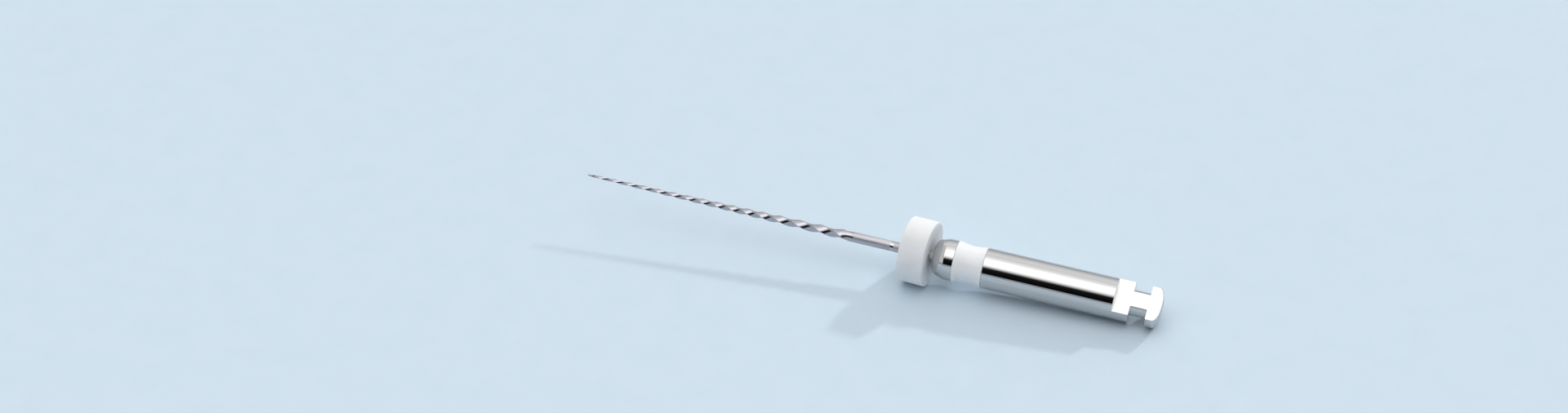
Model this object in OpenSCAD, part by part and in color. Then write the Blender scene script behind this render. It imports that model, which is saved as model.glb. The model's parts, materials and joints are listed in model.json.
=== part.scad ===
// Rotary endodontic file for a contra-angle handpiece, lying on a flat surface.
// The tip points to -X and the latch end to +X. The file rests on its silicone
// stop and on its latch end, so its axis runs slightly downhill towards +X.

/* [Fluted part] */
// File length, from the tip to the front of the handle
file_length = 21; // [19:0.5:31]
// Length of the fluted, cutting part
flute_length = 16.4; // [10:0.1:16.5]
// Diameter over the cutting edges at the tip
tip_d = 0.15; // [0.1:0.01:0.25]
// Growth in diameter for each millimetre of length
taper = 0.0275; // [0.015:0.0005:0.03]
// Length of the smooth guiding tip
guide_length = 0.5; // [0.1:0.05:0.6]
// Distance from the tip at which the section has become fully three-sided
grind_in = 0.6; // [0.3:0.1:2]
// Thickness from the axis to the middle of a side, as a share of the edge radius
core_share = 0.7; // [0.55:0.01:0.9]
// Distance from one cutting edge to the next along the axis, near the tip
edge_step_tip = 0.9; // [0.6:0.01:1.5]
// Distance from one cutting edge to the next along the axis, near the shaft
edge_step_shaft = 1.26; // [0.7:0.02:2]
// Distance from the tip at which the edges begin to spread out
spread_start = 10.1; // [5:0.1:11]
// Length over which the edges spread out
spread_length = 2.5; // [1:0.5:5]
// Length over which the last flute runs out into the shaft
run_out = 1.4; // [0.5:0.1:2]
// Angle of the first cutting edge around the axis
edge_turn = 30; // [0:1:119]

/* [Shaft] */
// Diameter of the smooth shaft
shaft_d = 0.6; // [0.5:0.01:0.8]
// Length of shaft held inside the handle
tang_length = 5; // [3:0.5:7]
// Distance from the depth mark's middle to the front of the handle
mark_setback = 2.5; // [2.2:0.1:3]
// Width of the depth mark
mark_width = 0.2; // [0.1:0.05:0.4]
// Depth of the depth mark, a polished ring turned into the shaft
mark_depth = 0.008; // [0.004:0.002:0.02]

/* [Stop] */
// Outer diameter of the silicone stop
stop_d = 3.78; // [3:0.02:5]
// Thickness of the silicone stop
stop_thickness = 1.52; // [1:0.02:2]
// Radius on the stop's two outer edges
stop_edge = 0.06; // [0.03:0.01:0.2]
// Depth of the shallow dish in the stop's rear face
dish_depth = 0.13; // [0.03:0.01:0.2]
// Width of the flat land around the dish
dish_land = 0.16; // [0.1:0.02:0.4]
// Gap between the stop's rear face and the handle, on the axis
stop_gap = 0.13; // [0.12:0.01:1]
// Clearance between the stop's bore and the shaft, on the radius
stop_clearance = 0.02; // [0.01:0.01:0.08]
// Height of the disc's centre above its bore
stop_rise = 0.1; // [0:0.02:0.2]
// Angle by which the soft stop is turned out of square, seen from above
stop_turn = 5; // [0:1:5]

/* [Handle] */
// Diameter of the handle's front face
nose_d = 1.92; // [1.5:0.02:2]
// Radius on the edge of the front face
nose_edge = 0.34; // [0.04:0.02:0.4]
// Length of the cone behind the front face
cone_length = 0.72; // [0.3:0.02:1.5]
// Diameter of the polished collar behind the cone
collar_d = 2.37; // [2.2:0.01:2.6]
// Length of the polished collar
collar_length = 0.53; // [0.3:0.01:1.5]
// Diameter of the shank, the standard size for a latch-type handpiece
shank_d = 2.35; // [2.2:0.01:2.5]
// Length of the round shank between the size band and the drive flat
shank_length = 7.61; // [6:0.01:10]
// Wall of adhesive between the shaft and the handle's bore
bond_wall = 0.05; // [0.03:0.01:0.1]
// Depth of the bore behind the end of the shaft
bore_relief = 0.4; // [0.2:0.1:1]
// Chamfer on the handle's small edges
edge_break = 0.03; // [0.01:0.01:0.05]

/* [Size band] */
// Length of the coloured size band
band_length = 1.71; // [1:0.01:3]
// Diameter of the seat turned into the handle for the band
band_seat_d = 1.9; // [1.7:0.05:2]
// Diameter of the band at its front lip
band_d = 2.38; // [2.3:0.01:2.5]
// Smallest diameter of the band
band_waist_d = 2.15; // [2.1:0.01:2.25]
// Width of the band's plain front lip
band_lip = 0.1; // [0.05:0.01:0.2]

/* [Latch end] */
// Distance from the axis to the drive flat
flat_height = 0.587; // [0.5:0.01:0.7]
// Angle of the drive flat away from straight up, towards -Y
flat_turn = 28; // [0:1:60]
// Length of the flatted part in front of the groove
shoulder_length = 0.95; // [0.7:0.05:1.5]
// Width of the latch groove
groove_length = 0.97; // [0.7:0.01:1.2]
// Diameter of the neck in the latch groove
neck_d = 1.47; // [1.3:0.01:1.7]
// Length of the head behind the groove
head_length = 0.75; // [0.6:0.05:1.2]
// Length of the domed end of the head
dome_length = 0.37; // [0.2:0.01:0.5]
// How far the dome draws in from the shank's diameter, on the radius
dome_inset = 0.85; // [0.3:0.05:1]

/* [Hidden] */
$fn = 96;
// Enough to carry a cut clean through a surface
cut_margin = 0.5;

// Stations along the axis, measured from the tip
band_start = file_length + cone_length + collar_length;
band_end = band_start + band_length;
flat_start = band_end + shank_length;
groove_start = flat_start + shoulder_length;
head_start = groove_start + groove_length;
handle_end = head_start + head_length;
stop_station = file_length - stop_gap - stop_thickness / 2;
rest_station = handle_end - dome_length;

// Radii
shaft_r = shaft_d / 2;
stop_r = stop_d / 2;
nose_r = nose_d / 2;
collar_r = collar_d / 2;
shank_r = shank_d / 2;
neck_r = neck_d / 2;
seat_r = band_seat_d / 2;
bore_r = shaft_r + bond_wall;
dish_r = stop_r - dish_land;
// Radius of the ball that leaves the dish
dish_ball_r = (dish_r ^ 2 + dish_depth ^ 2) / (2 * dish_depth);

// Lying pose: the stop's rim and the edge of the latch end's dome both touch z = 0
rest_span = rest_station - stop_station;
stop_axis_z = stop_r - stop_rise;
lie_tilt = asin(stop_axis_z / norm([rest_span, shank_r])) - atan2(shank_r, rest_span);
lie_z = stop_axis_z + stop_station * sin(lie_tilt);
lie_x = -(handle_end * cos(lie_tilt) + (shank_r - dome_inset) * sin(lie_tilt)) / 2;

// Fluted part: rings of points swept along the axis
side_points = 8;
ring_points = 3 * side_points;
guide_rings = 5;
flute_rings = 150;
// The last ring ends just inside the shaft, a hair under its surface
joint_overlap = 0.02;
joint_step = 0.003;
guide_flat = 0.25;

// Cross-section with an edge radius of 1: three sides, each one bulging arc
half_side = sin(60);
side_rise = core_share - cos(60);
side_arc_r = (half_side ^ 2 + side_rise ^ 2) / (2 * side_rise);
side_arc_back = side_arc_r - core_share;

// Steps along the curve of the head's dome
dome_steps = 16;

// Moves a part from its own axis (+Z, tip at the origin) to the lying pose
module lie() {
    translate([lie_x, 0, lie_z]) rotate([0, 90 + lie_tilt, 0]) children();
}

// 0 before t = 0, 1 after t = 1, with a soft start and end
function ease(t) = let (c = min(max(t, 0), 1)) c * c * (3 - 2 * c);

// Radius of the three-sided section at an angle from the middle of a side
function side_radius(a) = sqrt(side_arc_r ^ 2 - (side_arc_back * sin(a)) ^ 2) - side_arc_back * cos(a);

// Length beyond spread_start, weighted by how far the edges have spread
function spread_run(s) = let (x = max(s - spread_start, 0))
    x < spread_length ? x * x / (2 * spread_length) : x - spread_length / 2;

// Turn of the section about the axis at a station, a right-hand helix
function section_turn(s) = edge_turn + 120 * (s / edge_step_tip
    - (1 / edge_step_tip - 1 / edge_step_shaft) * spread_run(s));

// Radius over the cutting edges at a station, rounded off at the guiding tip
function edge_radius(s) = let (x = min(s / guide_length, 1))
    (tip_d + taper * s) / 2 * (guide_flat + (1 - guide_flat) * sqrt(x * (2 - x)));

// Radius of ring point k at a station, from the round tip to the round shaft
function point_radius(s, k) = let (
        a = (k % side_points) * 120 / side_points - 60,
        ground = edge_radius(s) * (1 + ease(s / grind_in) * (side_radius(a) - 1)),
        out = ease((s - flute_length + run_out) / run_out)
    ) ground + (shaft_r - joint_step - ground) * out;

stations = concat(
    [for (i = [0:guide_rings - 1]) guide_length * (1 - cos(90 * i / guide_rings))],
    [for (i = [0:flute_rings]) guide_length + (flute_length - guide_length) * i / flute_rings]
);

// Ground working part with three helical cutting edges
module fluted_part() {
    last = len(stations) - 1;
    points = [for (s = stations, k = [0:ring_points - 1])
        let (a = 360 * k / ring_points + section_turn(s), r = point_radius(s, k))
            [r * cos(a), r * sin(a), s]];
    sides = [for (i = [0:last - 1], k = [0:ring_points - 1])
        let (a = i * ring_points, b = a + ring_points, n = (k + 1) % ring_points)
            each [[a + k, b + k, b + n], [a + k, b + n, a + n]]];
    tip_cap = [[for (k = [0:ring_points - 1]) k]];
    shaft_cap = [[for (k = [ring_points - 1:-1:0]) last * ring_points + k]];
    polyhedron(points = points, faces = concat(sides, tip_cap, shaft_cap), convexity = 10);
}

// Nickel-titanium blank: working part, smooth shaft with its depth mark, and tang
module file_blank() {
    color([0.68, 0.68, 0.72]) lie() difference() {
        union() {
            fluted_part();
            translate([0, 0, flute_length - joint_overlap])
                cylinder(r = shaft_r, h = file_length + tang_length - flute_length + joint_overlap);
        }
        translate([0, 0, file_length - mark_setback - mark_width / 2]) difference() {
            cylinder(r = shaft_r + cut_margin, h = mark_width);
            translate([0, 0, -cut_margin])
                cylinder(r = shaft_r - mark_depth, h = mark_width + 2 * cut_margin);
        }
    }
}

// Disc with rounded outer edges, centred on the origin, axis along Z
module rounded_disc(r, thickness, edge) {
    translate([0, 0, -thickness / 2]) rotate_extrude() {
        square([r - edge, thickness]);
        translate([0, edge]) square([r, thickness - 2 * edge]);
        translate([r - edge, edge]) circle(r = edge);
        translate([r - edge, thickness - edge]) circle(r = edge);
    }
}

// Silicone stop: stands square on the surface, its bore runs along the file
module silicone_stop() {
    color([0.93, 0.93, 0.94]) difference() {
        translate([lie_x + stop_station * cos(lie_tilt), 0, stop_r])
            rotate([0, 0, -stop_turn]) rotate([0, 90, 0]) difference() {
                rounded_disc(stop_r, stop_thickness, stop_edge);
                translate([0, 0, stop_thickness / 2 - dish_depth + dish_ball_r])
                    sphere(r = dish_ball_r);
            }
        lie() translate([0, 0, stop_station - stop_thickness])
            cylinder(r = shaft_r + stop_clearance, h = 2 * stop_thickness);
    }
}

// Domed end of the head, a quarter ellipse from its rim to its flat middle
function dome_points(length) = [for (i = [0:dome_steps])
    let (a = 90 * i / dome_steps)
        [shank_r - dome_inset * (1 - cos(a)), length - dome_length * (1 - sin(a))]];

// Half outline of the handle, as radius and distance behind its front face
module handle_outline() {
    cone_angle = atan2(collar_r - nose_r, cone_length);
    reach = nose_edge / tan((90 + cone_angle) / 2);
    seat_from = band_start - file_length;
    seat_to = band_end - file_length;
    groove_from = groove_start - file_length;
    groove_to = head_start - file_length;
    length = handle_end - file_length;
    polygon(concat([
        [0, 0],
        [nose_r - reach, 0],
        [nose_r + reach * sin(cone_angle), reach * cos(cone_angle)],
        [collar_r, cone_length],
        [collar_r, seat_from - edge_break],
        [collar_r - edge_break, seat_from],
        [seat_r, seat_from],
        [seat_r, seat_to],
        [shank_r - edge_break, seat_to],
        [shank_r, seat_to + edge_break],
        [shank_r, groove_from - edge_break],
        [shank_r - edge_break, groove_from],
        [neck_r, groove_from],
        [neck_r, groove_to],
        [shank_r - edge_break, groove_to],
        [shank_r, groove_to + edge_break]
    ], dome_points(length), [[0, length]]));
    translate([nose_r - reach, nose_edge]) circle(r = nose_edge);
}

// Turned metal handle: nose, band seat, shank, drive flat, latch groove and head
module latch_handle() {
    color([0.82, 0.83, 0.86]) lie() translate([0, 0, file_length]) difference() {
        rotate_extrude() handle_outline();
        translate([0, 0, -cut_margin])
            cylinder(r = bore_r, h = tang_length + bore_relief + cut_margin);
        rotate([0, 0, 180 + flat_turn])
            translate([flat_height, -shank_r - cut_margin, flat_start - file_length])
                cube([shank_r, 2 * (shank_r + cut_margin), handle_end - flat_start + cut_margin]);
    }
}

// White size band, waisted between its front lip and the shank
module size_band() {
    rise = (band_d - band_waist_d) / 2;
    waist_at = (band_length + band_lip) / 2;
    waist_curve_r = ((waist_at - band_lip) ^ 2 + rise ^ 2) / (2 * rise);
    color([0.97, 0.97, 0.98]) lie() translate([0, 0, band_start]) rotate_extrude() difference() {
        translate([seat_r, 0]) square([band_d / 2 - seat_r, band_length]);
        translate([band_waist_d / 2 + waist_curve_r, waist_at]) circle(r = waist_curve_r);
    }
}

// Sleeve of cured adhesive that holds the shaft in the handle's bore
module tang_adhesive() {
    color([0.8, 0.76, 0.62]) lie() translate([0, 0, file_length]) difference() {
        cylinder(r = bore_r, h = tang_length);
        translate([0, 0, -cut_margin]) cylinder(r = shaft_r, h = tang_length + 2 * cut_margin);
    }
}

file_blank();
silicone_stop();
latch_handle();
size_band();
tang_adhesive();
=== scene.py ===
"""Looks of a rotary endodontic file that lies on a pale blue surface.

Every mesh is drawn in millimetres on the file's own axis: z is the station, the distance from the
tip, and x points down to the floor. lie() turns it into the row frame.
"""
import json
import math

import bmesh
import bpy
from mathutils import Matrix, Vector


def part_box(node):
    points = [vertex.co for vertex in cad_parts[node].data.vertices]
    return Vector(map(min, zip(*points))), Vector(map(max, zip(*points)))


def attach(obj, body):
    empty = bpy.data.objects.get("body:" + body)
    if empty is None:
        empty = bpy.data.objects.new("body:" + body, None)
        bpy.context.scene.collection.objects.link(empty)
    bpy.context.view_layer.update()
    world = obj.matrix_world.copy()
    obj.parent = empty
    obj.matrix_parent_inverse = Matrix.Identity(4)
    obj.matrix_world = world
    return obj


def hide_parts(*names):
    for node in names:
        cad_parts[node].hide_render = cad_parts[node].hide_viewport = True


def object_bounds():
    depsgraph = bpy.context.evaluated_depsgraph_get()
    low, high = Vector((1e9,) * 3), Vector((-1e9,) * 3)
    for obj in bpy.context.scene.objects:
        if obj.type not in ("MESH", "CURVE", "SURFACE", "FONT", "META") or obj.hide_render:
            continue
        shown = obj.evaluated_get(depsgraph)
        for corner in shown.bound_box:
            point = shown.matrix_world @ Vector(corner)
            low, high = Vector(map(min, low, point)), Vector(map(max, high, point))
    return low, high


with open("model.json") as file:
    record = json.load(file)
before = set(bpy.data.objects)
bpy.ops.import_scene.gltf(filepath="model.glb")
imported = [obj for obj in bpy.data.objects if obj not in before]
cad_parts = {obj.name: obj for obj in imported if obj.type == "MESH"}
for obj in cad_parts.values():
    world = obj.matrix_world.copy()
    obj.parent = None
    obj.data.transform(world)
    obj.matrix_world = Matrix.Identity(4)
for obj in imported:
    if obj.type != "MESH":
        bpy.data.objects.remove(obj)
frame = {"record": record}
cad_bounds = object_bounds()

MM = 0.001

# Stations, radii and lengths in millimetres; EDGE_TURN and STOP_TURN in degrees
FILE_LENGTH = 21.0
FLUTE_LENGTH = 16.4
TANG_LENGTH = 5.0
SHAFT_R = 0.3
BORE_R = 0.35
BORE_RELIEF = 0.4
BORE_EDGE = 0.02
TIP_D = 0.15
TAPER = 0.0275
GUIDE_LENGTH = 0.5
GUIDE_FLAT = 0.25
GRIND_IN = 0.6
CORE_SHARE = 0.70
EDGE_STEP_TIP = 0.9
EDGE_STEP_SHAFT = 1.26
SPREAD_START = 10.1
SPREAD_LENGTH = 2.5
RUN_OUT = 1.4
EDGE_TURN = 30.0
MARK_STATION = 18.5
MARK_WIDTH = 0.2
MARK_DEPTH = 0.003
MARK_BEVEL = 0.01
BRIGHT_START = FILE_LENGTH - 0.8
STOP_R = 1.89
STOP_THICKNESS = 1.52
STOP_EDGE = 0.06
STOP_GAP = 0.13
STOP_TURN = 5.0
STOP_BORE_R = 0.32
STOP_BORE_LAND = 0.5
DISH_DEPTH = 0.13
DISH_LAND = 0.16
NOSE_R = 0.96
NOSE_EDGE = 0.34
COLLAR_START = FILE_LENGTH + 0.72
COLLAR_R = 1.185
COLLAR_EDGE = 0.3
BAND_START = COLLAR_START + 0.53
BAND_END = BAND_START + 1.71
BAND_SEAT_R = 0.95
BAND_R = 1.19
BAND_WAIST_R = 1.075
BAND_LIP = 0.1
BAND_EDGE = 0.02
SHANK_R = 1.175
FLAT_START = BAND_END + 7.61
GROOVE_START = FLAT_START + 0.95
HEAD_START = GROOVE_START + 0.97
HANDLE_END = HEAD_START + 0.75
NECK_R = 0.735
DOME_LENGTH = 0.37
DOME_INSET = 0.85
EDGE_BREAK = 0.03
PAPER_HALF = 800.0

# A face counts as ground where its middle lies within this share of the shaft's radius
GROUND_SHARE = 0.985
# Points nearer than this are welded, and points nearer than ON_STATION lie at a station
WELD = 1e-5
ON_STATION = 1e-4

# Camera, round a point given from the middle of the CAD box
VIEW_AZIMUTH = math.radians(17.32)
VIEW_ELEVATION = math.radians(39.29)
VIEW_DISTANCE = 178.4
VIEW_SHIFT = Vector((-5.93, 2.58, -0.89))
LENS = 70.0
SENSOR_WIDTH = 36.0

# Key light: strength, size as an angle, and the way to it
KEY_STRENGTH = 0.9
KEY_ANGLE = math.radians(4)
KEY_FROM = Vector((0.40, 0.76, 0.51))

# Strength of the overhead soft box, the brightest of the surroundings
SOFT_BOX = 2.0

# Light across the room, by the angle in degrees from straight up towards the camera's side
SKY = ((-90, 0.60), (-75, 0.66), (-58, 0.95), (-45, 1.10), (-32, 1.0), (-20, 1.18), (-10, 1.42),
       (0, SOFT_BOX), (27, SOFT_BOX), (33, 1.5), (38, 1.1), (42, 0.7), (47, 0.22), (50, 0.02),
       (66, 0.003), (69, 0.012), (72, 0.003), (90, 0.003))

# Light of the other surroundings, red, green and blue
WALL = (0.80, 0.79, 0.78)
WALL_END = (0.01, 0.01, 0.012)
LATCH_SIDE = (0.30, 0.30, 0.31)
HORIZON = (0.40, 0.44, 0.48)
GROUND = (0.62, 0.73, 0.83)

# Where one gives way to the next, by the part of the direction along x, or along z for the last two
MIDDLE_FADE = (-0.1, 0.1)
SIDES_FADE = (0.47, 0.52)
WALL_FADE = (0.80, 0.84)
HORIZON_FADE = (0.17, 0.12)
GROUND_FADE = (-0.01, 0.01)

# Points round a turned surface, round the sleeve and round the three-sided section
TURN_POINTS = 192
SLEEVE_POINTS = 96
SIDE_POINTS = 16
RING_POINTS = 3 * SIDE_POINTS
# Rings along the guiding tip, and their distance along the flutes
GUIDE_RINGS = 10
RING_STEP = 0.025
# Largest step along the arc of a fillet
ARC_STEP = math.radians(12)


def mount(name):
    """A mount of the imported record."""
    return next(m for m in frame["record"]["mounts"] if m["name"] == name)


# The file's axis, from tip to handle, and the point on it where the tip ends
axis = Vector(mount("shank")["axis"]).normalized()
on_axis = Vector(mount("shank")["pos_m"])
tip = on_axis + axis * ((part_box("file_blank")[0].x - on_axis.x) / axis.x)
down = Vector((0, 1, 0)).cross(axis)
flat_normal = Vector(mount("drive_flat")["axis"]).normalized()
flat_height = (Vector(mount("drive_flat")["pos_m"]) - on_axis).dot(flat_normal) / MM


def lie():
    """From the file's own axis, in metres, to the row frame."""
    turn = Matrix((down, Vector((0, 1, 0)), axis)).transposed()
    return Matrix.Translation(tip) @ turn.to_4x4()


# ---------------------------------------------------------------- meshes

def rounded(corners):
    """Corners (station, radius, fillet) as (station, radius) points, with an arc at each fillet."""
    points = []
    for i, (s, r, fillet) in enumerate(corners):
        here = Vector((s, r))
        if not fillet:
            points.append(here)
            continue
        a = (Vector(corners[i - 1][:2]) - here).normalized()
        b = (Vector(corners[i + 1][:2]) - here).normalized()
        half = a.angle(b) / 2
        centre = here + (a + b).normalized() * fillet / math.sin(half)
        start = here + a * fillet / math.tan(half) - centre
        end = here + b * fillet / math.tan(half) - centre
        sweep = start.angle_signed(end)
        steps = max(2, math.ceil(abs(sweep) / ARC_STEP))
        for k in range(steps + 1):
            points.append(centre + start @ Matrix.Rotation(sweep * k / steps, 2))
    return points


def shell(rings):
    """A bmesh through rings of points, which all have the same number or are a single point."""
    bm = bmesh.new()
    loops = [[bm.verts.new(point) for point in ring] for ring in rings]
    for a, b in zip(loops, loops[1:]):
        n = max(len(a), len(b))
        for k in range(n):
            m = (k + 1) % n
            if len(a) == 1:
                bm.faces.new((a[0], b[m], b[k]))
            elif len(b) == 1:
                bm.faces.new((a[k], a[m], b[0]))
            else:
                bm.faces.new((a[k], a[m], b[m], b[k]))
    bmesh.ops.recalc_face_normals(bm, faces=bm.faces)
    return bm


def circle(s, r, count=TURN_POINTS, lead=0.0):
    """Points round the axis at a station, the first at the angle lead; one point where r is 0."""
    if r == 0:
        return [(0, 0, s)]
    turns = [lead + math.tau * k / count for k in range(count)]
    return [(r * math.cos(t), r * math.sin(t), s) for t in turns]


def turned(profile, count=TURN_POINTS):
    """A bmesh turned about the axis from (station, radius) points."""
    return shell([circle(s, r, count) for s, r in profile])


def close_ring(bm):
    """Joins the two open ends of a turned shell, which makes it a solid ring."""
    bmesh.ops.bridge_loops(bm, edges=[e for e in bm.edges if e.is_boundary])
    bmesh.ops.recalc_face_normals(bm, faces=bm.faces)


def piece(name, bm, materials, sharp=30.0, matrix=None):
    """A named object from a bmesh in millimetres, smooth but for its sharp edges."""
    bmesh.ops.triangulate(bm, faces=[f for f in bm.faces if len(f.verts) > 4])
    for f in bm.faces:
        f.smooth = True
    for e in bm.edges:
        if len(e.link_faces) == 2 and e.calc_face_angle() > math.radians(sharp):
            e.smooth = False
    bmesh.ops.scale(bm, vec=(MM, MM, MM), verts=bm.verts)
    mesh = bpy.data.meshes.new(name)
    bm.to_mesh(mesh)
    bm.free()
    for material in materials:
        mesh.materials.append(material)
    obj = bpy.data.objects.new(name, mesh)
    bpy.context.scene.collection.objects.link(obj)
    obj.matrix_world = lie() if matrix is None else matrix
    return obj


# ---------------------------------------------------------------- materials

# Span of the noise that the colours and the roughness are spread over
NOISE_LOW, NOISE_HIGH = 0.3, 0.7


class Shader:
    """A Principled material whose nodes read the object's own coordinates."""

    def __init__(self, name, **values):
        self.material = bpy.data.materials.new(name)
        self.material.use_nodes = True
        self.nodes = self.material.node_tree.nodes
        self.links = self.material.node_tree.links
        self.bsdf = self.nodes["Principled BSDF"]
        self.coords = self.nodes.new("ShaderNodeTexCoord").outputs["Object"]
        for key, value in values.items():
            self.bsdf.inputs[key.replace("_", " ")].default_value = value

    def noise(self, stretch, detail=3.0):
        """Noise whose grains repeat about every 1 / stretch metres along x, y and z."""
        mapping = self.nodes.new("ShaderNodeMapping")
        mapping.inputs["Scale"].default_value = stretch
        self.links.new(self.coords, mapping.inputs["Vector"])
        texture = self.nodes.new("ShaderNodeTexNoise")
        texture.inputs["Scale"].default_value = 1.0
        texture.inputs["Detail"].default_value = detail
        self.links.new(mapping.outputs["Vector"], texture.inputs["Vector"])
        return texture.outputs["Fac"]

    def colours(self, value, low, high):
        """Base colours from low to high over the span of the noise."""
        node = self.nodes.new("ShaderNodeValToRGB")
        node.color_ramp.elements[0].position = NOISE_LOW
        node.color_ramp.elements[1].position = NOISE_HIGH
        node.color_ramp.elements[0].color = (*low, 1)
        node.color_ramp.elements[1].color = (*high, 1)
        self.links.new(value, node.inputs["Fac"])
        self.links.new(node.outputs["Color"], self.bsdf.inputs["Base Color"])
        return self

    def rough(self, value, low, high):
        """Roughness from low to high over the span of the noise."""
        node = self.nodes.new("ShaderNodeMapRange")
        node.inputs["From Min"].default_value = NOISE_LOW
        node.inputs["From Max"].default_value = NOISE_HIGH
        node.inputs["To Min"].default_value = low
        node.inputs["To Max"].default_value = high
        self.links.new(value, node.inputs["Value"])
        self.links.new(node.outputs["Result"], self.bsdf.inputs["Roughness"])
        return self

    def bump(self, value, depth):
        """Bump of a depth in metres."""
        node = self.nodes.new("ShaderNodeBump")
        node.inputs["Distance"].default_value = depth
        node.inputs["Strength"].default_value = 1.0
        self.links.new(value, node.inputs["Height"])
        self.links.new(node.outputs["Normal"], self.bsdf.inputs["Normal"])
        return self


# Noise stretched into fine rings round the axis, and into fine lines along it
RINGS = (900, 900, 45000)
LENGTHWISE = (30000, 30000, 700)


def polished_metal():
    s = Shader("polished_steel", Metallic=1.0)
    streaks = s.noise(LENGTHWISE)
    s.colours(streaks, (0.555, 0.555, 0.56), (0.60, 0.60, 0.605))
    return s.rough(s.noise((4000, 4000, 4000)), 0.03, 0.06).material


def satin_metal():
    s = Shader("satin_steel", Metallic=1.0)
    rings = s.noise(RINGS)
    s.colours(rings, (0.56, 0.56, 0.56), (0.64, 0.64, 0.64))
    s.rough(s.noise((3000, 3000, 3000)), 0.24, 0.34)
    return s.bump(rings, 1.0e-6).material


def milled_metal():
    s = Shader("milled_steel", Metallic=1.0)
    lines = s.noise((2000, 2000, 50000))
    s.colours(lines, (0.53, 0.53, 0.52), (0.60, 0.60, 0.585))
    s.rough(lines, 0.22, 0.32)
    return s.bump(lines, 0.6e-6).material


def ground_flutes():
    s = Shader("ground_flutes", Metallic=1.0)
    lines = s.noise(RINGS)
    s.colours(lines, (0.38, 0.37, 0.41), (0.50, 0.49, 0.52))
    s.rough(s.noise((6000, 6000, 2500)), 0.13, 0.22)
    return s.bump(lines, 0.8e-6).material


def satin_shaft():
    s = Shader("satin_shaft", Metallic=1.0)
    lines = s.noise(LENGTHWISE)
    s.colours(lines, (0.44, 0.43, 0.46), (0.58, 0.57, 0.60))
    s.rough(lines, 0.44, 0.54)
    return s.bump(lines, 1.0e-6).material


def polished_nitinol():
    s = Shader("polished_nitinol", Metallic=1.0)
    rings = s.noise(RINGS)
    s.colours(rings, (0.50, 0.49, 0.51), (0.56, 0.55, 0.57))
    return s.rough(rings, 0.06, 0.1).material


def enamel():
    s = Shader("white_enamel")
    s.colours(s.noise((900, 900, 900)), (0.88, 0.885, 0.90), (0.91, 0.915, 0.93))
    s.rough(s.noise((2500, 2500, 2500)), 0.26, 0.36)
    return s.bump(s.noise((6000, 6000, 6000)), 0.15e-6).material


def silicone():
    s = Shader("white_silicone", Subsurface_Weight=0.6, Subsurface_Scale=0.0004, IOR=1.41)
    s.bsdf.inputs["Subsurface Radius"].default_value = (1.0, 0.95, 0.9)
    s.colours(s.noise((1200, 1200, 1200)), (0.82, 0.825, 0.84), (0.86, 0.865, 0.88))
    s.rough(s.noise((5000, 5000, 5000)), 0.5, 0.62)
    return s.bump(s.noise((16000, 16000, 16000)), 2.0e-6).material


def cured_adhesive():
    s = Shader("cured_adhesive", IOR=1.5)
    s.colours(s.noise((8000, 8000, 8000)), (0.50, 0.47, 0.38), (0.62, 0.58, 0.47))
    return s.rough(s.noise((5000, 5000, 5000)), 0.3, 0.45).material


def pale_paper():
    s = Shader("pale_paper", Specular_IOR_Level=0.2)
    s.colours(s.noise((500, 500, 500), detail=5.0), (0.59, 0.705, 0.80), (0.605, 0.72, 0.815))
    s.rough(s.noise((1500, 1500, 1500)), 0.75, 0.85)
    return s.bump(s.noise((9000, 9000, 9000)), 4.0e-6).material


# ---------------------------------------------------------------- pieces

def ease(t):
    """0 to 1 with level ends."""
    t = min(max(t, 0.0), 1.0)
    return t * t * (3 - 2 * t)


def side_radius(turn):
    """Radius of the three-sided section, edge radius 1, at an angle from the middle of a side."""
    rise = CORE_SHARE - 0.5
    arc_r = (0.75 + rise * rise) / (2 * rise)
    back = arc_r - CORE_SHARE
    return math.sqrt(arc_r ** 2 - (back * math.sin(turn)) ** 2) - back * math.cos(turn)


def section_turn(s):
    """Turn of the section about the axis at a station, a right-hand helix."""
    past = max(s - SPREAD_START, 0.0)
    spread = past * past / (2 * SPREAD_LENGTH) if past < SPREAD_LENGTH else past - SPREAD_LENGTH / 2
    edges = s / EDGE_STEP_TIP - (1 / EDGE_STEP_TIP - 1 / EDGE_STEP_SHAFT) * spread
    return math.radians(EDGE_TURN + 120 * edges)


def fluted_ring(s):
    """Section of the working part at a station, from the round tip to the round shaft."""
    x = min(s / GUIDE_LENGTH, 1.0)
    edge = (TIP_D + TAPER * s) / 2 * (GUIDE_FLAT + (1 - GUIDE_FLAT) * math.sqrt(x * (2 - x)))
    out = ease((s - FLUTE_LENGTH + RUN_OUT) / RUN_OUT)
    ring = []
    for k in range(RING_POINTS):
        side = side_radius(math.radians((k % SIDE_POINTS) * 120 / SIDE_POINTS - 60))
        ground = edge * (1 + ease(s / GRIND_IN) * (side - 1))
        r = ground + (SHAFT_R - ground) * out
        turn = math.tau * k / RING_POINTS + section_turn(s)
        ring.append((r * math.cos(turn), r * math.sin(turn), s))
    return ring


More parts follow.
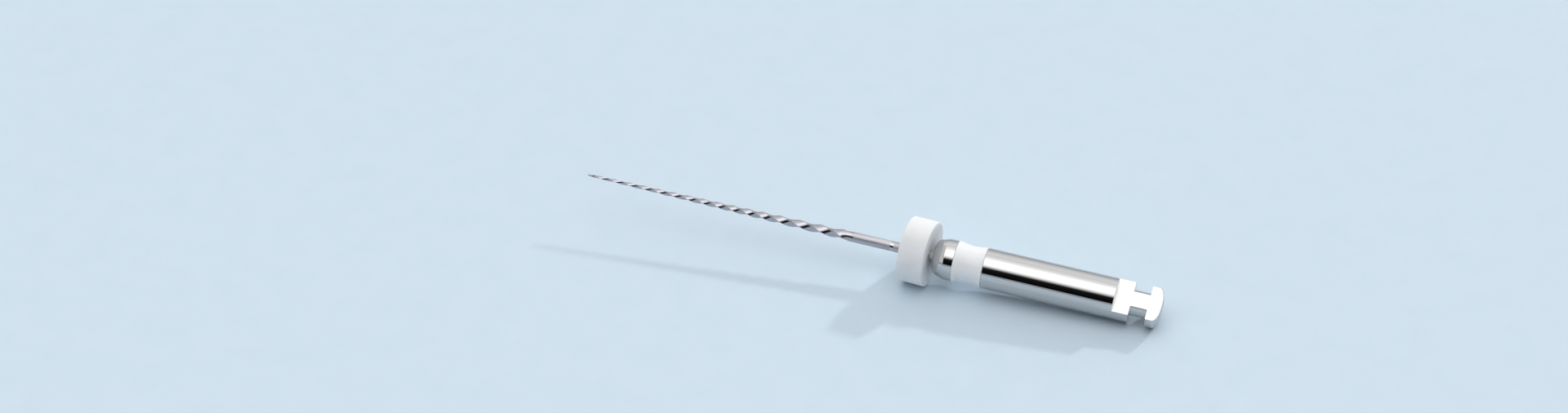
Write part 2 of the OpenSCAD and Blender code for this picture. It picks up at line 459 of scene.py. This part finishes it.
def file_blank():
    """The nickel-titanium blank: working part, smooth shaft with its polished mark, and tang."""
    guide_turns = [math.radians(90 * i / GUIDE_RINGS) for i in range(GUIDE_RINGS)]
    guide = [GUIDE_LENGTH * (1 - math.cos(turn)) for turn in guide_turns]
    steps = round((FLUTE_LENGTH - GUIDE_LENGTH) / RING_STEP)
    flutes = [GUIDE_LENGTH + (FLUTE_LENGTH - GUIDE_LENGTH) * i / steps for i in range(steps + 1)]
    rings = [[(0, 0, 0)]] + [fluted_ring(s) for s in guide + flutes]
    mark_from, mark_to = MARK_STATION - MARK_WIDTH / 2, MARK_STATION + MARK_WIDTH / 2
    end = FILE_LENGTH + TANG_LENGTH
    shaft = rounded([
        (mark_from, SHAFT_R, 0), (mark_from + MARK_BEVEL, SHAFT_R - MARK_DEPTH, 0),
        (mark_to - MARK_BEVEL, SHAFT_R - MARK_DEPTH, 0), (mark_to, SHAFT_R, 0),
        (BRIGHT_START, SHAFT_R, 0), (FILE_LENGTH, SHAFT_R, 0),
        (end, SHAFT_R, EDGE_BREAK), (end, 0, 0)])
    lead = section_turn(FLUTE_LENGTH)
    rings += [circle(s, r, RING_POINTS, lead) for s, r in shaft]
    bm = shell(rings)
    for f in bm.faces:
        middle = f.calc_center_median()
        ground = middle.z < FLUTE_LENGTH and middle.xy.length < GROUND_SHARE * SHAFT_R
        bright = mark_from < middle.z < mark_to or middle.z > BRIGHT_START
        f.material_index = 0 if ground else 2 if bright else 1
    return piece("ground_file_blank", bm, [ground_flutes(), satin_shaft(), polished_nitinol()],
                 sharp=28.0)


def handle_profile():
    """Outline of the handle, from the end of its bore round the nose to the domed head."""
    bore_end = FILE_LENGTH + TANG_LENGTH + BORE_RELIEF
    turned_points = rounded([
        (bore_end, 0, 0), (bore_end, BORE_R, 0), (FILE_LENGTH, BORE_R, BORE_EDGE),
        (FILE_LENGTH, NOSE_R, NOSE_EDGE), (COLLAR_START, COLLAR_R, COLLAR_EDGE),
        (BAND_START, COLLAR_R, EDGE_BREAK), (BAND_START, BAND_SEAT_R, 0),
        (BAND_END, BAND_SEAT_R, 0), (BAND_END, SHANK_R, EDGE_BREAK),
        (FLAT_START, SHANK_R, 0),
        (GROOVE_START, SHANK_R, EDGE_BREAK), (GROOVE_START, NECK_R, EDGE_BREAK),
        (HEAD_START, NECK_R, EDGE_BREAK), (HEAD_START, SHANK_R, EDGE_BREAK),
        (HANDLE_END - DOME_LENGTH, SHANK_R, 0)])
    dome = []
    steps = 24
    for i in range(1, steps + 1):
        turn = math.radians(90 * i / steps)
        dome.append((HANDLE_END - DOME_LENGTH * (1 - math.sin(turn)),
                     SHANK_R - DOME_INSET * (1 - math.cos(turn))))
    return turned_points + dome + [(HANDLE_END, 0)]


def cut_drive_flat(bm):
    """Mills the flat from FLAT_START to the end, and closes it and the wall in front of it."""
    normal = lie().to_3x3().transposed() @ flat_normal
    plane = {"dist": WELD, "plane_co": normal * flat_height, "plane_no": normal}
    seam = [v for v in bm.verts if abs(v.co.z - FLAT_START) < ON_STATION]
    edges = [e for e in bm.edges if all(v in seam for v in e.verts)]
    bmesh.ops.bisect_plane(bm, geom=seam + edges, **plane)
    reach = [f for f in bm.faces if f.calc_center_median().z > FLAT_START]
    split = bmesh.ops.split(bm, geom=reach)["geom"]
    bmesh.ops.bisect_plane(bm, geom=split, clear_outer=True, **plane)
    bmesh.ops.remove_doubles(bm, verts=bm.verts, dist=WELD)
    across = normal.cross(Vector((0, 0, 1)))
    arc = sorted((v for v in bm.verts if v.is_boundary and abs(v.co.z - FLAT_START) < ON_STATION),
                 key=lambda v: math.atan2(v.co.dot(across), v.co.dot(normal)))
    wall = bm.faces.new(arc)
    rim = [e for e in bm.edges if e.is_boundary]
    return [wall] + bmesh.ops.holes_fill(bm, edges=rim, sides=0)["faces"]


def latch_handle():
    """The turned handle, polished up to the latch groove, with a milled flat and a satin head."""
    bm = turned(handle_profile())
    cut = set(cut_drive_flat(bm))
    bmesh.ops.recalc_face_normals(bm, faces=bm.faces)
    for f in bm.faces:
        s = f.calc_center_median().z
        groove_wall = min(abs(s - GROOVE_START), abs(s - HEAD_START)) < 0.5 * EDGE_BREAK
        polished = groove_wall or s < GROOVE_START
        f.material_index = 2 if f in cut else 0 if polished else 1
    return piece("turned_latch_handle", bm, [polished_metal(), satin_metal(), milled_metal()])


def size_band():
    """White enamel band, waisted between its front lip and the shank."""
    rise = BAND_R - BAND_WAIST_R
    waist_at = BAND_START + (BAND_END - BAND_START + BAND_LIP) / 2
    half = waist_at - BAND_START - BAND_LIP
    curve_r = (half * half + rise * rise) / (2 * rise)
    reach = math.asin(half / curve_r)
    corner = 0.3 * BAND_EDGE
    profile = [(BAND_START, BAND_SEAT_R), (BAND_START, BAND_R - BAND_EDGE),
               (BAND_START + corner, BAND_R - corner), (BAND_START + BAND_EDGE, BAND_R),
               (BAND_START + 0.7 * BAND_LIP, BAND_R)]
    half_steps = 20
    for i in range(-half_steps, half_steps + 1):
        turn = reach * i / half_steps
        profile.append((waist_at + curve_r * math.sin(turn),
                        BAND_WAIST_R + curve_r * (1 - math.cos(turn))))
    profile[-1] = (BAND_END - BAND_EDGE, profile[-1][1])
    profile += [(BAND_END, BAND_R - BAND_EDGE), (BAND_END, BAND_SEAT_R)]
    bm = turned(profile)
    close_ring(bm)
    return piece("white_size_band", bm, [enamel()])


def tang_adhesive():
    """Adhesive sleeve, with a shallow meniscus at the handle's front face."""
    end = FILE_LENGTH + TANG_LENGTH
    profile = [(FILE_LENGTH + 0.002, SHAFT_R), (FILE_LENGTH + 0.018, SHAFT_R + 0.012),
               (FILE_LENGTH + 0.024, SHAFT_R + 0.025), (FILE_LENGTH + 0.018, BORE_R - 0.012),
               (FILE_LENGTH + 0.004, BORE_R), (end, BORE_R), (end, SHAFT_R)]
    bm = turned(profile, SLEEVE_POINTS)
    close_ring(bm)
    return piece("adhesive_sleeve", bm, [cured_adhesive()])


def stop_frame():
    """Row-frame matrix of the stop: z along the disc's own axis, which lies level."""
    station = (FILE_LENGTH - STOP_GAP - STOP_THICKNESS / 2) * MM
    lo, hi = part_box("silicone_stop")
    centre = Vector(((tip + axis * station).x, 0, (lo.z + hi.z) / 2))
    turn = Matrix.Rotation(math.radians(-STOP_TURN), 4, "Z") @ Matrix.Rotation(math.pi / 2, 4, "Y")
    return Matrix.Translation(centre) @ turn


def silicone_stop():
    """Silicone disc with rounded rims and a dished rear face, pierced along the file's axis."""
    place = stop_frame()
    inverse = place.inverted()
    bore_axis = inverse.to_3x3() @ axis
    bore_point = inverse @ tip / MM
    half = STOP_THICKNESS / 2
    dish_r = STOP_R - DISH_LAND
    ball_r = (dish_r ** 2 + DISH_DEPTH ** 2) / (2 * DISH_DEPTH)

    def face_z(r):
        """Height of the dished rear face at a distance from the middle."""
        if r >= dish_r:
            return half
        return half - DISH_DEPTH + ball_r - math.sqrt(ball_r ** 2 - r * r)

    outline = rounded([(-half, 0, 0), (-half, STOP_R, STOP_EDGE), (half, STOP_R, STOP_EDGE),
                       (half, dish_r, 0)])[1:]
    land = STOP_BORE_LAND
    front_rings, rear_rings = 12, 16
    front_reach = STOP_R - STOP_EDGE - land
    front = [(-half, land + front_reach * i / front_rings) for i in range(front_rings)]
    rear_reach = dish_r - land
    rear_radii = [land + rear_reach * i / rear_rings for i in reversed(range(rear_rings))]
    rear = [(face_z(r), r) for r in rear_radii]

    def bore_ring(z_of):
        """Where the bore's wall meets a face, as a ring of points, found by a few steps along it."""
        ring = []
        for x, y, _ in circle(0, STOP_BORE_R):
            spot = Vector((x, y, 0))
            spot -= bore_axis * spot.dot(bore_axis)
            spot = spot.normalized() * STOP_BORE_R + bore_point
            for _ in range(6):
                spot += bore_axis * (z_of(math.hypot(spot.x, spot.y)) - spot.z) / bore_axis.z
            ring.append(tuple(spot))
        return ring

    rings = [bore_ring(lambda r: -half)]
    rings += [circle(z, r) for z, r in front + [tuple(p) for p in outline] + rear]
    rings += [bore_ring(face_z)]
    bm = shell(rings + [rings[0]])
    bmesh.ops.remove_doubles(bm, verts=bm.verts, dist=WELD)
    bmesh.ops.recalc_face_normals(bm, faces=bm.faces)
    return piece("silicone_stop_disc", bm, [silicone()], matrix=place)


# ---------------------------------------------------------------- studio

def floor():
    """Pale paper under the object."""
    half = PAPER_HALF * MM
    bm = bmesh.new()
    corners = [(-half, -half, 0), (half, -half, 0), (half, half, 0), (-half, half, 0)]
    bm.faces.new([bm.verts.new(c) for c in corners])
    mesh = bpy.data.meshes.new("paper")
    bm.to_mesh(mesh)
    bm.free()
    mesh.materials.append(pale_paper())
    obj = bpy.data.objects.new("paper", mesh)
    bpy.context.scene.collection.objects.link(obj)


def key_light():
    """Small soft light from behind on the right, which draws the shadows on the paper."""
    data = bpy.data.lights.new("key", "SUN")
    data.energy = KEY_STRENGTH
    data.angle = KEY_ANGLE
    obj = bpy.data.objects.new("key", data)
    obj.rotation_mode = "QUATERNION"
    obj.rotation_quaternion = KEY_FROM.to_track_quat("Z", "Y")
    bpy.context.scene.collection.objects.link(obj)


def studio():
    """Surroundings: a soft box overhead that fades towards the back, a dark room in front, a grey
    wall with a dark end on the tip's side, a dim side at the latch, and a pale table all round.
    """
    world = bpy.data.worlds.new("studio")
    world.use_nodes = True
    bpy.context.scene.world = world
    nodes, links = world.node_tree.nodes, world.node_tree.links
    split = nodes.new("ShaderNodeSeparateXYZ")
    links.new(nodes.new("ShaderNodeTexCoord").outputs["Generated"], split.inputs[0])

    def maths(operation, *values):
        """Result of a maths node on sockets and numbers."""
        node = nodes.new("ShaderNodeMath")
        node.operation = operation
        for socket, value in zip(node.inputs, values):
            if isinstance(value, (int, float)):
                socket.default_value = value
            else:
                links.new(value, socket)
        return node.outputs[0]

    def step(value, start, end):
        """0 below start and 1 above end, or the other way round where start is the larger."""
        node = nodes.new("ShaderNodeMapRange")
        node.interpolation_type = "SMOOTHSTEP"
        node.inputs["From Min"].default_value = min(start, end)
        node.inputs["From Max"].default_value = max(start, end)
        node.inputs["To Min"].default_value = 0.0 if start < end else 1.0
        node.inputs["To Max"].default_value = 1.0 if start < end else 0.0
        links.new(value, node.inputs["Value"])
        return node.outputs["Result"]

    def mix(factor, a, b):
        """Colour a where factor is 0 and b where it is 1; a tuple is light, as in SKY."""
        node = nodes.new("ShaderNodeMix")
        node.data_type = "RGBA"
        links.new(factor, node.inputs["Factor"])
        for socket, value in ((node.inputs["A"], a), (node.inputs["B"], b)):
            if isinstance(value, tuple):
                socket.default_value = (*(channel / SOFT_BOX for channel in value), 1)
            else:
                links.new(value, socket)
        return node.outputs["Result"]

    x, y, z = split.outputs
    lean = maths("DIVIDE", maths("ARCTAN2", maths("MULTIPLY", y, -1.0), z), math.pi)
    ramp = nodes.new("ShaderNodeValToRGB")
    links.new(maths("MULTIPLY_ADD", lean, 0.5, 0.5), ramp.inputs["Fac"])
    stops = ramp.color_ramp.elements
    for i, (degrees, light) in enumerate(SKY):
        place = 0.5 + degrees / 360
        share = light / SOFT_BOX
        stop = stops.new(place) if i else stops[0]
        stop.position = place
        stop.color = (share, share, share, 1)
    stops.remove(stops[-1])
    sideways = maths("ABSOLUTE", x)
    tip_side = mix(step(sideways, *WALL_FADE), WALL, WALL_END)
    sides = mix(step(x, *MIDDLE_FADE), tip_side, LATCH_SIDE)
    sky = mix(step(sideways, *SIDES_FADE), ramp.outputs["Color"], sides)
    sky = mix(step(z, *HORIZON_FADE), sky, HORIZON)
    links.new(mix(step(z, *GROUND_FADE), GROUND, sky), nodes["Background"].inputs["Color"])
    nodes["Background"].inputs["Strength"].default_value = SOFT_BOX


def camera():
    """Camera at the photograph's angle, aimed at a point near the middle of the object."""
    lo, hi = cad_bounds
    target = (lo + hi) / 2 + VIEW_SHIFT * MM
    back = Vector((math.sin(VIEW_AZIMUTH) * math.cos(VIEW_ELEVATION),
                   -math.cos(VIEW_AZIMUTH) * math.cos(VIEW_ELEVATION), math.sin(VIEW_ELEVATION)))
    data = bpy.data.cameras.new("camera")
    data.sensor_width = SENSOR_WIDTH
    data.lens = LENS
    data.clip_start = 0.01
    data.clip_end = 5.0
    obj = bpy.data.objects.new("camera", data)
    obj.location = target + back * VIEW_DISTANCE * MM
    obj.rotation_euler = (math.pi / 2 - VIEW_ELEVATION, 0, VIEW_AZIMUTH)
    bpy.context.scene.collection.objects.link(obj)
    bpy.context.scene.camera = obj


camera()
studio()
key_light()
floor()
bpy.context.scene.view_settings.view_transform = "Standard"

for build, body, node, slot in (
    (file_blank, "file", "file_blank", "nickel_titanium"),
    (latch_handle, "file", "latch_handle", "handle_metal"),
    (size_band, "file", "size_band", "band_white"),
    (tang_adhesive, "file", "tang_adhesive", "adhesive"),
    (silicone_stop, "stop", "silicone_stop", "silicone"),
):
    made = build()
    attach(made, body)
    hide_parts(node)
